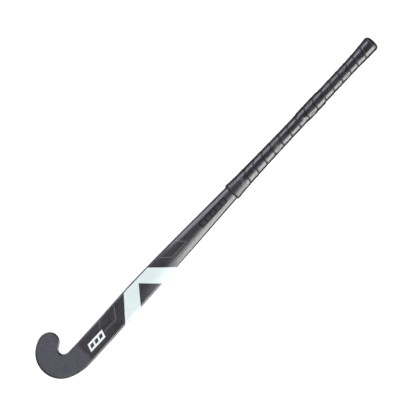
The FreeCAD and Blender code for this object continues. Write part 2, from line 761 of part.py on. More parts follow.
TOP_WINDOWS = 5
top_left = ((1.0, "emblem_top_x"),)
top_right = top_left + (
    (TOP_WINDOWS + 1.0, "emblem_top_line"),
    (float(TOP_WINDOWS), "emblem_top_window"),
)
top_foot = ((1.0, "emblem_top_y"),)
top_head = top_foot + ((1.0, "emblem_top_height"),)
top_frame = [
    (top_left, top_foot),
    (top_right, top_foot),
    (top_right, top_head),
    (top_left, top_head),
]
upper_emblem_decal = decal(
    "upper_emblem_decal", skin, [top_frame] + [top_window(index) for index in range(TOP_WINDOWS)])

NODES = [
    laminate_shell,
    head_core,
    foam_core_toe_side,
    foam_core_web,
    foam_core_heel_side,
    butt_cap,
    grip_underlay,
    grip_build_up_band,
    grip_wrap,
    grip_finishing_tape,
    head_face_coat,
    chevron_decal,
    lower_carbon_film,
    upper_carbon_film,
    lower_outline_decal,
    lower_outline_tick,
    upper_outline_decal,
    lower_emblem_decal,
    upper_emblem_decal,
]

# Move the origin to the middle of the underside of the whole stick's bounding box.
doc.recompute()
reach = FreeCAD.BoundBox()
for node in NODES:
    reach.add(node.Shape.optimalBoundingBox())
shift = FreeCAD.Vector(-reach.Center.x, -reach.Center.y, -reach.ZMin)
for node in NODES:
    node.Placement.Base = node.Placement.Base + shift
    node.Label = node.Name
doc.recompute()

for feature in doc.Objects:
    if "Invalid" in feature.State or "Error" in feature.State:
        raise RuntimeError("%s failed: %s" % (feature.Name, feature.State))
for node in NODES:
    if node.Shape.isNull() or not node.Shape.isValid() or node.Shape.Volume < MIN_VOLUME:
        raise RuntimeError("%s has no sound shape" % node.Name)

os.makedirs("parts", exist_ok=True)
for node in NODES:
    node.Shape.exportStep("parts/%s.step" % node.Label)
    print("%-22s %9.1f mm3 %d solid(s)" % (node.Label, node.Shape.Volume, len(node.Shape.Solids)))
print("overall %.1f x %.1f x %.1f mm" % (reach.XLength, reach.YLength, reach.ZLength))
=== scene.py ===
import json
import math

import bmesh
import bpy
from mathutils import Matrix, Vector


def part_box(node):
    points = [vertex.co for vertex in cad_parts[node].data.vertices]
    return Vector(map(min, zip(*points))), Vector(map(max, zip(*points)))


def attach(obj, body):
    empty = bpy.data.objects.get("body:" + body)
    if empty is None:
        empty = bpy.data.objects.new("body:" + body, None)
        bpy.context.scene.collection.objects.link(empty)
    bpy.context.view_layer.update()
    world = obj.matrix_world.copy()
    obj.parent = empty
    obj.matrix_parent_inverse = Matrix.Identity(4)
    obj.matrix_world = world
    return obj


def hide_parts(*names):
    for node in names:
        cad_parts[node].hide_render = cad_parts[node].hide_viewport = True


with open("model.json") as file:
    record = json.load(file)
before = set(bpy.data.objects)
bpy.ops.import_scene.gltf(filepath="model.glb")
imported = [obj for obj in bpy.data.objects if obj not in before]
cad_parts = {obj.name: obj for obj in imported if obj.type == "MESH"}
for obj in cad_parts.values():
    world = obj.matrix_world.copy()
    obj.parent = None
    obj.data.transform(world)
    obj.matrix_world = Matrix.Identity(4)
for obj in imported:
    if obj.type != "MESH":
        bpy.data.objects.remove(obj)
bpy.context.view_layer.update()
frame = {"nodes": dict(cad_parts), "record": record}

scene = bpy.context.scene
MM = 0.001

# Field hockey stick, lying on its back. +X runs from the head to the butt, +Y toward the toe
# of the hook, +Z out of the playing face. A station is a distance in mm from the head's end.
HEAD_END_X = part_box("laminate_shell")[0].x
BUTT_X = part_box("butt_cap")[1].x
GRIP_LOW = 515.0
CAP_JOINT = 917.0


def mount(name):
    """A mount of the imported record."""
    return next(m for m in frame["record"]["mounts"] if m["name"] == name)


# ---------------------------------------------------------------- the handle's cross-section

HANDLE_WIDTH = 23.7
BLADE_WIDTH = 47.5
HANDLE_DEPTH = 26.0
HANDLE_EDGE = 11.0
FACE_EDGE = 3.6
BACK_EDGE = 10.0
TAPER = (200.0, 715.0)
BACK_CROWN = (400.0, 640.0)
FACE_CROWN_ANGLE = 40.0
BACK_CROWN_ANGLE = 30.0
FLARE_START = 860.0
FLARE_GROWTH = 5.2
FLARE_POWER = 1.3
RING_POINTS = 216

butt = mount("butt_end")
butt_centre = Vector(butt["pos_m"])
along_handle = Vector(butt["axis"]).normalized()
out_of_face = Vector((-along_handle.z, 0.0, along_handle.x))
across = Vector((0.0, 1.0, 0.0))


def smooth(value, low, high):
    """Smooth step from 0 at low to 1 at high."""
    u = min(1.0, max(0.0, (value - low) / (high - low)))
    return u * u * (3.0 - 2.0 * u)


def flare(station):
    """Growth of the handle's width and depth toward the butt."""
    run = min(1.0, max(0.0, (station - FLARE_START) / (CAP_JOINT - FLARE_START)))
    return FLARE_GROWTH * run ** FLARE_POWER


def handle_section(station):
    """Outline of the laminate: (centre, radius, first and last angle) arcs and side lines."""
    taper = smooth(station, *TAPER)
    grow = flare(station)
    half = (BLADE_WIDTH + taper * (HANDLE_WIDTH - BLADE_WIDTH) + grow) / 2.0
    depth = HANDLE_DEPTH + grow
    face_edge = FACE_EDGE + taper * (HANDLE_EDGE - FACE_EDGE) + grow / 2.0
    back_edge = BACK_EDGE + taper * (HANDLE_EDGE - BACK_EDGE) + grow / 2.0
    face_angle = FACE_CROWN_ANGLE
    back_angle = BACK_CROWN_ANGLE * smooth(station, *BACK_CROWN)
    face_crown = face_edge + (half - face_edge) / math.sin(math.radians(face_angle))
    back_crown = back_edge + (half - back_edge) / math.sin(math.radians(back_angle))
    face_y = -face_crown + (face_crown - face_edge) * math.cos(math.radians(face_angle))
    back_y = back_crown - depth - (back_crown - back_edge) * math.cos(math.radians(back_angle))
    left, right = -half + face_edge, half - face_edge
    back_left, back_right = -half + back_edge, half - back_edge
    middle = (face_y + back_y) / 2.0
    return [
        ((-half, middle), (-half, face_y), 180.0),
        ((left, face_y), face_edge, 180.0, 90.0 + face_angle),
        ((0.0, -face_crown), face_crown, 90.0 + face_angle, 90.0 - face_angle),
        ((right, face_y), face_edge, 90.0 - face_angle, 0.0),
        ((half, face_y), (half, back_y), 0.0),
        ((back_right, back_y), back_edge, 0.0, back_angle - 90.0),
        ((0.0, back_crown - depth), back_crown, back_angle - 90.0, -90.0 - back_angle),
        ((back_left, back_y), back_edge, -90.0 - back_angle, -180.0),
        ((-half, back_y), (-half, middle), -180.0),
    ]


def piece_length(piece):
    if len(piece) == 3:
        return math.dist(piece[0], piece[1])
    return piece[1] * math.radians(piece[2] - piece[3])


def section_ring(station):
    """Points and outward directions round the laminate, evenly spaced, from the heel side."""
    pieces = handle_section(station)
    lengths = [piece_length(piece) for piece in pieces]
    step = sum(lengths) / RING_POINTS
    ring = []
    index, walked = 0, 0.0
    for number in range(RING_POINTS):
        distance = number * step
        while distance > walked + lengths[index]:
            walked += lengths[index]
            index += 1
        share = (distance - walked) / lengths[index]
        piece = pieces[index]
        if len(piece) == 3:
            start, end, angle = piece
            y = start[0] + share * (end[0] - start[0])
            z = start[1] + share * (end[1] - start[1])
            turn = math.radians(angle)
        else:
            centre, radius, first, last = piece
            turn = math.radians(first + share * (last - first))
            y = centre[0] + radius * math.cos(turn)
            z = centre[1] + radius * math.sin(turn)
        ring.append((y, z, math.cos(turn), math.sin(turn)))
    return ring


end_depth = HANDLE_DEPTH + FLARE_GROWTH
face_at_butt = butt_centre + out_of_face * (end_depth / 2.0 * MM)


def handle_point(station, ring_entry, offset):
    """A point of the handle, at a height in mm over the laminate, in the row frame."""
    y, z, out_y, out_z = ring_entry
    x = HEAD_END_X + station * MM
    on_face = face_at_butt + along_handle * ((x - face_at_butt.x) / along_handle.x)
    return on_face + across * ((y + offset * out_y) * MM) + out_of_face * ((z + offset * out_z) * MM)


# ---------------------------------------------------------------- the grip's meshes

# Heights are in mm over the laminate.
UNDERLAY = 0.45
WRAP_HEIGHT = 1.75
WRAP_START = GRIP_LOW + 1.5
WRAP_MIDDLE_X = HEAD_END_X + (GRIP_LOW + CAP_JOINT) / 2.0 * MM
PITCH = 24.5
FIRST_SEAM = 528.5
INNER_STEPS = 48
# The tape lies smooth where it meets the cap.
CALM = (CAP_JOINT - 6.0, CAP_JOINT - 1.0)
CALM_HEIGHT = 0.15
# A vertex this near a plane, in metres, lies in it.
NEAR = 1e-5
# (share of a turn, height) of the wound tape: each turn's edge lies on the next one's.
TURN_PROFILE = [
    (0.0, -0.6), (0.035, -0.5), (0.08, -0.24), (0.13, -0.05), (0.19, 0.02), (0.225, 0.1),
    (0.265, 0.05), (0.29, 0.055), (0.32, 0.06), (0.38, 0.07), (0.5, 0.08), (0.62, 0.12),
    (0.68, 0.145), (0.71, 0.165), (0.77, 0.2), (0.86, 0.29), (0.91, 0.33), (0.94, 0.28),
    (0.962, 0.05), (0.98, -0.35),
]
# A profile point under SEAM_TOP gets painted shade in its seam, in full at SEAM_DEPTH below that. On
# the toe side the seams are shallower and their painted shade is lighter, by these shares.
SEAM_TOP = 0.04
SEAM_DEPTH = 0.36
TOE_SHALLOWER = 0.5
TOE_SEAM_SHADE_LESS = 0.7
# The band under the wrap: where it starts and ends on either side, and how long its ramps are.
BAND_HEIGHT = 1.15
BAND_HEEL = (721.5, 775.5)
BAND_TOE = (710.5, 778.5)
BAND_SLOPE = 6.0
# The last turns are drawn together where the handle flares.
SQUEEZE = 7.5
SQUEEZE_RANGE = (835.0, 897.0)
# The wrap is thicker on the heel side of the upper handle, and thinner on its toe side.
BUILD_RISE = (590.0, 700.0)
BUILD_FALL = (890.0, 914.0)
BUILD_HEEL = 0.75
BUILD_TOE = 0.4
# A patch of short slanted ribs is pressed into the tape once every four turns.
RIB_HEIGHT = 0.3
RIB_EVERY = 4.0
RIB_START = 0.2
RIB_HALF_LENGTH = (0.12, 0.15)
RIB_HALF_WIDTH = (0.18, 0.22)
# Angles of the ribs' wave in radians, for one turn along the winding and one width across it.
RIB_WAVE = 170.0
RIB_SLANT = 7.0


def squeeze(station):
    """Station of a point of the winding, drawn back near the butt."""
    return station - SQUEEZE * smooth(station, *SQUEEZE_RANGE)


def toward_toe(share):
    """0 on the heel side of a turn, 1 on its toe side."""
    return 0.5 - 0.5 * math.cos(2.0 * math.pi * share)


def band_rise(station, share):
    """Height added by the band under the wrap; its ends slant with the winding."""
    toe = toward_toe(share)
    start = BAND_HEEL[0] + toe * (BAND_TOE[0] - BAND_HEEL[0])
    end = BAND_HEEL[1] + toe * (BAND_TOE[1] - BAND_HEEL[1])
    up = smooth(station, start, start + BAND_SLOPE)
    down = smooth(station, end - BAND_SLOPE, end)
    return BAND_HEIGHT * (up - down)


def heel_build(station, share):
    """Height added on the heel side of the upper handle and taken off on its toe side."""
    level = smooth(station, *BUILD_RISE) * (1.0 - smooth(station, *BUILD_FALL))
    lean = math.cos(2.0 * math.pi * share)
    return level * lean * (BUILD_HEEL if lean > 0.0 else BUILD_TOE)


def rib_rise(run, across_tape):
    """Height of the ribs, by the turns wound so far and the share of the tape's width."""
    from_patch = abs((run - RIB_START) % RIB_EVERY - RIB_EVERY / 2.0)
    from_middle = abs(across_tape - 0.5)
    along = 1.0 - smooth(from_patch, *RIB_HALF_LENGTH)
    window = along * (1.0 - smooth(from_middle, *RIB_HALF_WIDTH))
    wave = math.sin(RIB_WAVE * run + RIB_SLANT * across_tape)
    return RIB_HEIGHT * window * smooth(wave, -0.5, 0.5)


def painted_seam_shade(profile_height):
    """How much painted shade a point gets, from 0 to 1, by how deep in a seam it lies."""
    return min(1.0, max(0.0, (SEAM_TOP - profile_height) / SEAM_DEPTH))


def add_object(name, bm):
    mesh = bpy.data.meshes.new(name)
    bm.to_mesh(mesh)
    bm.free()
    mesh.polygons.foreach_set("use_smooth", [True] * len(mesh.polygons))
    obj = bpy.data.objects.new(name, mesh)
    scene.collection.objects.link(obj)
    return obj


def clip(bm, station, keep_above):
    """Cut a mesh square to the stick's length at a station."""
    geometry = bm.verts[:] + bm.edges[:] + bm.faces[:]
    bmesh.ops.bisect_plane(
        bm, geom=geometry, plane_co=(HEAD_END_X + station * MM, 0, 0), plane_no=(1, 0, 0),
        clear_inner=keep_above, clear_outer=not keep_above)


ring_cache = {}


def ring_at(station):
    """Section ring to the nearest quarter millimetre, worked out once."""
    key = round(station * 4.0)
    if key not in ring_cache:
        ring_cache[key] = section_ring(key / 4.0)
    return ring_cache[key]


def wrap_lift(station, share, run, share_of_turn, profile_height):
    """Height of the wound tape over WRAP_HEIGHT; the seams are shallower on the toe side."""
    calm = smooth(station, *CALM)
    toe = toward_toe(share)
    below = profile_height < 0.0
    depth = profile_height * (1.0 - TOE_SHALLOWER * toe * toe if below else 1.0)
    lift = depth * (1.0 - calm) + CALM_HEIGHT * calm
    lift += band_rise(station, share) + heel_build(station, share)
    return lift + rib_rise(run, share_of_turn)


def wound_rows(bm):
    """Rows of vertices along the winding, each once round the handle."""
    mark = bm.verts.layers.float.new("painted_seam_shade")
    turns = int((CAP_JOINT - FIRST_SEAM) / PITCH) + 4
    rows = []
    for row in range(len(TURN_PROFILE) * turns):
        turn, step = divmod(row, len(TURN_PROFILE))
        share_of_turn, height = TURN_PROFILE[step]
        line = []
        for column in range(RING_POINTS):
            share = column / RING_POINTS
            wound = FIRST_SEAM + PITCH * (turn - 2 + share_of_turn + share)
            station = squeeze(wound)
            lift = wrap_lift(station, share, turn + share, share_of_turn, height)
            point = handle_point(station, ring_at(station)[column], WRAP_HEIGHT + lift)
            vertex = bm.verts.new(point)
            # Painted shade in the seams, lighter on the toe side and none where the tape lies smooth
            # at the cap.
            toe_shade_fade = 1.0 - TOE_SEAM_SHADE_LESS * toward_toe(share) ** 2
            vertex[mark] = painted_seam_shade(height) * (1.0 - smooth(station, *CALM)) * toe_shade_fade
            line.append(vertex)
        rows.append(line)
    return rows


def spiral_wrap():
    """The wound tape, closed: a helical skin outside, its ends turned in, a plain skin inside."""
    bm = bmesh.new()
    rows = wound_rows(bm)
    a_turn = len(TURN_PROFILE)
    for row in range(len(rows) - 1):
        for column in range(RING_POINTS - 1):
            bm.faces.new((rows[row][column], rows[row][column + 1],
                          rows[row + 1][column + 1], rows[row + 1][column]))
        if row + 1 + a_turn < len(rows):
            bm.faces.new((rows[row][-1], rows[row + a_turn][0],
                          rows[row + 1 + a_turn][0], rows[row + 1][-1]))
    clip(bm, WRAP_START, True)
    clip(bm, CAP_JOINT, False)
    rims = close_end(bm, WRAP_START) + close_end(bm, CAP_JOINT)
    rims += inner_skin(bm)
    for at_low_end in (True, False):
        loops = [e for e in rims if (e.verts[0].co.x < WRAP_MIDDLE_X) == at_low_end]
        bmesh.ops.bridge_loops(bm, edges=loops)
    bmesh.ops.recalc_face_normals(bm, faces=bm.faces)
    return add_object("grip_wound_tape", bm)


def inner_skin(bm):
    """Inside of the wound tape, on the underlay; gives back the edges of its two open ends."""
    loops = []
    for step in range(INNER_STEPS + 1):
        station = WRAP_START + (CAP_JOINT - WRAP_START) * step / INNER_STEPS
        ring = section_ring(station)
        loops.append([bm.verts.new(handle_point(station, entry, UNDERLAY)) for entry in ring])
    for here, following in zip(loops, loops[1:]):
        for column in range(RING_POINTS):
            after = (column + 1) % RING_POINTS
            bm.faces.new((here[column], following[column], following[after], here[after]))
    return [bm.edges.get((loop[column], loop[column - 1]))
            for loop in (loops[0], loops[-1]) for column in range(RING_POINTS)]


def close_end(bm, station):
    """Turn the open rim at a station inward onto the underlay, and give back its new edges."""
    x = HEAD_END_X + station * MM
    rim = [e for e in bm.edges if e.is_boundary and all(abs(v.co.x - x) < NEAR for v in e.verts)]
    made = bmesh.ops.extrude_edge_only(bm, edges=rim)
    middle = handle_middle(station)
    for vertex in (v for v in made["geom"] if isinstance(v, bmesh.types.BMVert)):
        radial = vertex.co - middle
        radial.x = 0.0
        vertex.co -= radial.normalized() * ((WRAP_HEIGHT - UNDERLAY) * MM)
    return [item for item in made["geom"] if isinstance(item, bmesh.types.BMEdge) and item.is_boundary]


def handle_middle(station):
    """Middle of the handle's section at a station."""
    depth = HANDLE_DEPTH + flare(station)
    return handle_point(station, (0.0, -depth / 2.0, 0.0, 0.0), 0.0)


def sleeve(name, profile):
    """A closed ring of tape round the handle, kept above the floor."""
    bm = bmesh.new()
    loops = []
    for station, height in profile:
        points = [handle_point(station, entry, height) for entry in section_ring(station)]
        loops.append([bm.verts.new((p.x, p.y, max(p.z, 0.0))) for p in points])
    for row in range(len(loops)):
        here, following = loops[row], loops[(row + 1) % len(loops)]
        for column in range(RING_POINTS):
            after = (column + 1) % RING_POINTS
            bm.faces.new((here[column], here[after], following[after], following[column]))
    bmesh.ops.recalc_face_normals(bm, faces=bm.faces)
    return add_object(name, bm)


# (station, height) points of the finishing tape's section: its lower edge rolled over, a slight
# bulge behind it, then thin flat tape up to its far edge.
FINISH_PROFILE = [
    (514.2, 0.08), (514.25, 0.7), (514.6, 1.45), (515.3, 2.1), (516.3, 2.6), (517.8, 2.85),
    (520.0, 2.8), (523.0, 2.5), (527.0, 2.28), (532.0, 2.2), (536.0, 2.18), (538.6, 2.16),
    (539.4, 2.1), (539.8, 1.95), (539.9, 1.72), (536.0, 1.66), (526.0, 1.66), (519.0, 1.6),
    (517.0, 1.2), (516.2, 0.5), (516.0, 0.08),
]


# ---------------------------------------------------------------- material nodes


class Material:
    """A Principled material; its methods add nodes and give back their output sockets."""

    def __init__(self, name, **sockets):
        self.data = bpy.data.materials.new(name)
        self.data.use_nodes = True
        self.nodes = self.data.node_tree.nodes
        self.links = self.data.node_tree.links
        self.shader = self.nodes["Principled BSDF"]
        for socket, value in sockets.items():
            self.shader.inputs[socket.replace("_", " ")].default_value = value
        self.place = self.add("ShaderNodeTexCoord").outputs["Object"]

    def add(self, kind, **settings):
        node = self.nodes.new(kind)
        for key, value in settings.items():
            setattr(node, key, value)
        return node

    def feed(self, socket, value):
        """Link a socket, or set it where the value is plain."""
        if isinstance(value, bpy.types.NodeSocket):
            self.links.new(value, socket)
        else:
            socket.default_value = value

    def scaled(self, stretch, turn=0.0):
        """Object coordinates, stretched, after a turn about Z in degrees."""
        node = self.add("ShaderNodeMapping")
        self.feed(node.inputs["Vector"], self.place)
        node.inputs["Scale"].default_value = stretch
        node.inputs["Rotation"].default_value = (0.0, 0.0, math.radians(turn))
        return node.outputs["Vector"]

    def noise(self, per_metre, detail=2.0, stretch=(1.0, 1.0, 1.0), rough=0.5):
        node = self.add("ShaderNodeTexNoise")
        self.feed(node.inputs["Vector"], self.scaled(stretch))
        node.inputs["Scale"].default_value = per_metre
        node.inputs["Detail"].default_value = detail
        node.inputs["Roughness"].default_value = rough
        return node.outputs["Fac"]

    def cells(self, per_metre, feature="F1"):
        node = self.add("ShaderNodeTexVoronoi", feature=feature)
        self.feed(node.inputs["Vector"], self.scaled((1.0, 1.0, 1.0)))
        node.inputs["Scale"].default_value = per_metre
        return node.outputs["Distance"]

    def math(self, operation, first, second=0.0):
        node = self.add("ShaderNodeMath", operation=operation)
        self.feed(node.inputs[0], first)
        self.feed(node.inputs[1], second)
        return node.outputs[0]

    def span(self, value, low, high, out_low=0.0, out_high=1.0):
        """Map a value from one range to another, clamped, with soft ends."""
        node = self.add("ShaderNodeMapRange", interpolation_type="SMOOTHSTEP")
        self.feed(node.inputs["Value"], value)
        for socket, number in zip(("From Min", "From Max", "To Min", "To Max"),
                                  (low, high, out_low, out_high)):
            node.inputs[socket].default_value = number
        return node.outputs["Result"]

    def mix(self, share, first, second):
        """Blend of two colours, each an (r, g, b) or a socket."""
        node = self.add("ShaderNodeMix", data_type="RGBA")
        self.feed(node.inputs["Factor"], share)
        for socket, value in (("A", first), ("B", second)):
            plain = not isinstance(value, bpy.types.NodeSocket)
            self.feed(rgba(node.inputs, socket), (*value, 1.0) if plain else value)
        return rgba(node.outputs, "Result")

    def axis(self, letter):
        node = self.add("ShaderNodeSeparateXYZ")
        self.feed(node.inputs[0], self.place)
        return node.outputs[letter]

    def mark(self, name):
        """A value stored on the mesh's vertices."""
        return self.add("ShaderNodeAttribute", attribute_name=name).outputs["Fac"]

    def bump(self, height, strength, depth_mm, under=None):
        node = self.add("ShaderNodeBump")
        self.feed(node.inputs["Height"], height)
        node.inputs["Strength"].default_value = strength
        node.inputs["Distance"].default_value = depth_mm * MM
        if under is not None:
            self.feed(node.inputs["Normal"], under)
        return node.outputs["Normal"]

    def finish(self, color, rough, normal):
        self.feed(self.shader.inputs["Base Color"], color)
        self.feed(self.shader.inputs["Roughness"], rough)
        self.feed(self.shader.inputs["Normal"], normal)
        return self.data


def rgba(sockets, name):
    return next(s for s in sockets if s.name == name and s.type == "RGBA")


def twill(m, tow_mm, turn):
    """Over-and-under pattern of a 2/2 twill: (which thread is on top, its rounded height)."""
    split = m.add("ShaderNodeSeparateXYZ")
    m.feed(split.inputs[0], m.scaled((1000.0 / tow_mm,) * 3, turn))
    u, v = split.outputs["X"], split.outputs["Y"]
    diagonal = m.math("ADD", m.math("FLOOR", u), m.math("FLOOR", v))
    on_top = m.math("LESS_THAN", m.math("FLOORED_MODULO", diagonal, 4.0), 1.5)
    warp = m.math("ABSOLUTE", m.math("SINE", m.math("MULTIPLY", u, math.pi)))
    weft = m.math("ABSOLUTE", m.math("SINE", m.math("MULTIPLY", v, math.pi)))
    pick = m.add("ShaderNodeMix", data_type="FLOAT")
    m.feed(pick.inputs["Factor"], on_top)
    m.feed(pick.inputs["A"], weft)
    m.feed(pick.inputs["B"], warp)
    return on_top, pick.outputs["Result"]


def shell_lacquer():
    """Charcoal satin lacquer over unidirectional carbon, a little scuffed low down."""
    m = Material("shell_lacquer", Coat_Weight=0.25, Coat_Roughness=0.18, IOR=1.45)
    streak = m.noise(240.0, 4.0, (0.12, 1.0, 1.0), 0.65)
    speckle = m.noise(2600.0, 2.0)
    grain = m.noise(420.0, 3.0, rough=0.7)
    cloud = m.noise(14.0, 3.0)
    scuff = m.span(m.noise(160.0, 5.0, (0.35, 1.0, 1.0), 0.72), 0.6, 0.74)
    low_down = m.span(m.axis("X"), HEAD_END_X + 0.06, HEAD_END_X + 0.34, 1.0, 0.12)
    wear = m.math("MULTIPLY", scuff, low_down)
    base = m.mix(m.span(streak, 0.3, 0.7), (0.022, 0.0205, 0.0265), (0.032, 0.03, 0.038))
    base = m.mix(m.span(speckle, 0.58, 0.8, 0.0, 0.5), base, (0.047, 0.045, 0.055))
    base = m.mix(m.span(grain, 0.4, 0.66, 0.0, 0.5), base, (0.05, 0.047, 0.056))
    base = m.mix(m.span(cloud, 0.35, 0.7, 0.0, 0.15), base, (0.018, 0.017, 0.0215))
    base = m.mix(m.math("MULTIPLY", wear, 0.15), base, (0.09, 0.086, 0.09))
    rough = m.math("ADD", m.span(streak, 0.2, 0.8, 0.25, 0.36), m.math("MULTIPLY", wear, 0.18))
    normal = m.bump(speckle, 0.18, 0.05)
    normal = m.bump(streak, 0.12, 0.05, normal)
    return m.finish(base, rough, normal)


def head_matte():
    """Grained matte coat of the head, which fades out short of the shaft."""
    m = Material("head_matte", IOR=1.38, Specular_IOR_Level=0.3)
    grain = m.noise(1500.0, 3.0, rough=0.6)
    coarse = m.noise(420.0, 3.0, rough=0.7)
    patch = m.noise(45.0, 4.0, rough=0.55)
    dirt = m.span(m.noise(300.0, 5.0, rough=0.7), 0.56, 0.76)
    edge = m.math("ADD", m.axis("X"), m.math("MULTIPLY", m.math("SUBTRACT", patch, 0.5), 0.012))
    fade = m.span(edge, HEAD_END_X + 0.080, HEAD_END_X + 0.0895)
    base = m.mix(m.span(patch, 0.3, 0.7), (0.0615, 0.066, 0.0875), (0.0775, 0.079, 0.0965))
    base = m.mix(m.span(grain, 0.42, 0.7, 0.0, 0.45), base, (0.105, 0.108, 0.125))
    base = m.mix(m.span(coarse, 0.36, 0.62, 0.6, 0.0), base, (0.045, 0.047, 0.058))
    base = m.mix(m.span(coarse, 0.5, 0.7, 0.0, 0.35), base, (0.115, 0.118, 0.138))
    base = m.mix(m.math("MULTIPLY", dirt, 0.3), base, (0.042, 0.042, 0.048))
    base = m.mix(fade, base, (0.032, 0.03, 0.034))
    rough = m.span(grain, 0.3, 0.7, 0.62, 0.8)
    normal = m.bump(grain, 0.4, 0.12)
    return m.finish(base, rough, normal)


def print_ink(name, light, dark, rough, coat=0.2, gloss=0.5):
    """Screen-printed ink: faint mottling, pinholes and an orange-peel surface."""
    m = Material(name, Coat_Weight=coat, Coat_Roughness=0.2, Specular_IOR_Level=gloss)
    mottle = m.noise(70.0, 4.0, rough=0.6)
    pinhole = m.span(m.cells(900.0), 0.0, 0.1, 0.35, 0.0)
    peel = m.noise(700.0, 2.0)
    base = m.mix(m.span(mottle, 0.3, 0.7), dark, light)
    base = m.mix(pinhole, base, tuple(0.6 * c for c in dark))
    return m.finish(base, m.span(peel, 0.3, 0.7, rough, rough + 0.1), m.bump(peel, 0.12, 0.04))


def carbon_film():
    """Fine twill under clear film."""
    m = Material("carbon_film", Coat_Weight=0.25, Coat_Roughness=0.15, IOR=1.42)
    on_top, height = twill(m, 1.6, 45.0)
    base = m.mix(on_top, (0.021, 0.02, 0.0245), (0.034, 0.0325, 0.039))
    base = m.mix(m.span(height, 0.0, 0.5, 0.4, 0.0), base, (0.012, 0.012, 0.014))
    rough = m.math("ADD", m.span(m.noise(60.0), 0.3, 0.7, 0.26, 0.36), m.math("MULTIPLY", on_top, 0.1))
    return m.finish(base, rough, m.bump(height, 0.35, 0.06))


def grip_pu():
    """Black polyurethane tape: fine leather grain, a satin sheen, painted shade in the seams and worn
    spots.
    """
    m = Material("grip_pu", IOR=1.53)
    wrinkle = m.noise(300.0, 3.0, (1.0, 0.22, 0.22), 0.6)
    grain = m.cells(900.0, "SMOOTH_F1")
    pores = m.span(m.cells(420.0), 0.02, 0.16, 1.0, 0.0)
    wear = m.span(m.noise(55.0, 4.0, rough=0.6), 0.35, 0.72)
    seam = m.mark("painted_seam_shade")
    base = m.mix(wear, (0.0165, 0.016, 0.022), (0.025, 0.0245, 0.0315))
    base = m.mix(m.math("MULTIPLY", pores, 0.45), base, (0.01, 0.01, 0.0125))
    # Painted shade: the seams' colour is darkened to near black, standing in for the shade inside
    # them.
    base = m.mix(seam, base, (0.004, 0.004, 0.005))
    rough = m.math("ADD", m.span(wear, 0.0, 1.0, 0.24, 0.33), m.math("MULTIPLY", seam, 0.3))
    m.feed(m.shader.inputs["Specular IOR Level"], m.span(seam, 0.0, 1.0, 0.53, 0.24))
    normal = m.bump(grain, 0.3, 0.08)
    normal = m.bump(pores, -0.25, 0.08, normal)
    normal = m.bump(wrinkle, 0.25, 0.3, normal)
    return m.finish(base, rough, normal)


def finishing_vinyl():
    """Smooth vinyl tape with faint stretch lines round the handle, and painted shade behind its rolled
    lower edge.
    """
    m = Material("finishing_vinyl", IOR=1.48)
    stretch = m.noise(420.0, 3.0, (1.0, 0.12, 0.12))
    dust = m.span(m.noise(900.0, 4.0), 0.6, 0.8)
    base = m.mix(m.span(stretch, 0.3, 0.7), (0.018, 0.0175, 0.023), (0.026, 0.0255, 0.032))
    base = m.mix(m.math("MULTIPLY", dust, 0.3), base, (0.07, 0.07, 0.078))
    # Painted shade: a near-black band on the tape just behind its rolled lower edge, where shade falls
    # under the lip.
    painted_lip_shade = m.span(m.axis("X"), HEAD_END_X + 0.5165, HEAD_END_X + 0.5205, 1.0, 0.0)
    base = m.mix(painted_lip_shade, base, (0.004, 0.004, 0.005))
    rough = m.math("ADD", m.span(stretch, 0.25, 0.75, 0.28, 0.38), m.math("MULTIPLY", painted_lip_shade, 0.4))
    return m.finish(base, rough, m.bump(stretch, 0.2, 0.06))


def cap_rubber():
    """Moulded rubber of the butt cap, a shade duller than the tape, scuffed at its end."""
    m = Material("cap_rubber", IOR=1.47)
    grain = m.noise(1300.0, 3.0, rough=0.6)
    at_end = m.span(m.axis("X"), BUTT_X - 0.006, BUTT_X, 0.15, 1.0)
    scuff = m.math("MULTIPLY", m.span(m.noise(420.0, 5.0, rough=0.75), 0.5, 0.7), at_end)
    base = m.mix(m.span(grain, 0.3, 0.7), (0.019, 0.0185, 0.025), (0.028, 0.0275, 0.035))
    base = m.mix(m.math("MULTIPLY", scuff, 0.4), base, (0.075, 0.073, 0.08))
    rough = m.math("ADD", m.span(grain, 0.3, 0.7, 0.33, 0.42), m.math("MULTIPLY", scuff, 0.25))
    return m.finish(base, rough, m.bump(grain, 0.28, 0.08))


def foam(name, light, dark, cell_per_metre):
    """Foam or cork inside the stick: cells with darker walls."""
    m = Material(name)
    cell = m.cells(cell_per_metre)
    tone = m.noise(60.0, 3.0)
    base = m.mix(m.span(cell, 0.1, 0.6), dark, light)
    base = m.mix(m.span(tone, 0.35, 0.7, 0.0, 0.4), base, dark)
    return m.finish(base, m.span(cell, 0.0, 0.7, 0.95, 0.75), m.bump(cell, 0.6, 0.3))


def woven_web():
    """Bare carbon weave of the web between the foams."""
    m = Material("woven_web")
    on_top, height = twill(m, 2.0, 45.0)
    base = m.mix(on_top, (0.02, 0.02, 0.022), (0.06, 0.06, 0.065))
    return m.finish(base, m.span(height, 0.0, 1.0, 0.55, 0.35), m.bump(height, 0.5, 0.15))


def give(node, material):
    """Put a material on a CAD node."""
    data = frame["nodes"][node].data
    data.materials.clear()
    data.materials.append(material)


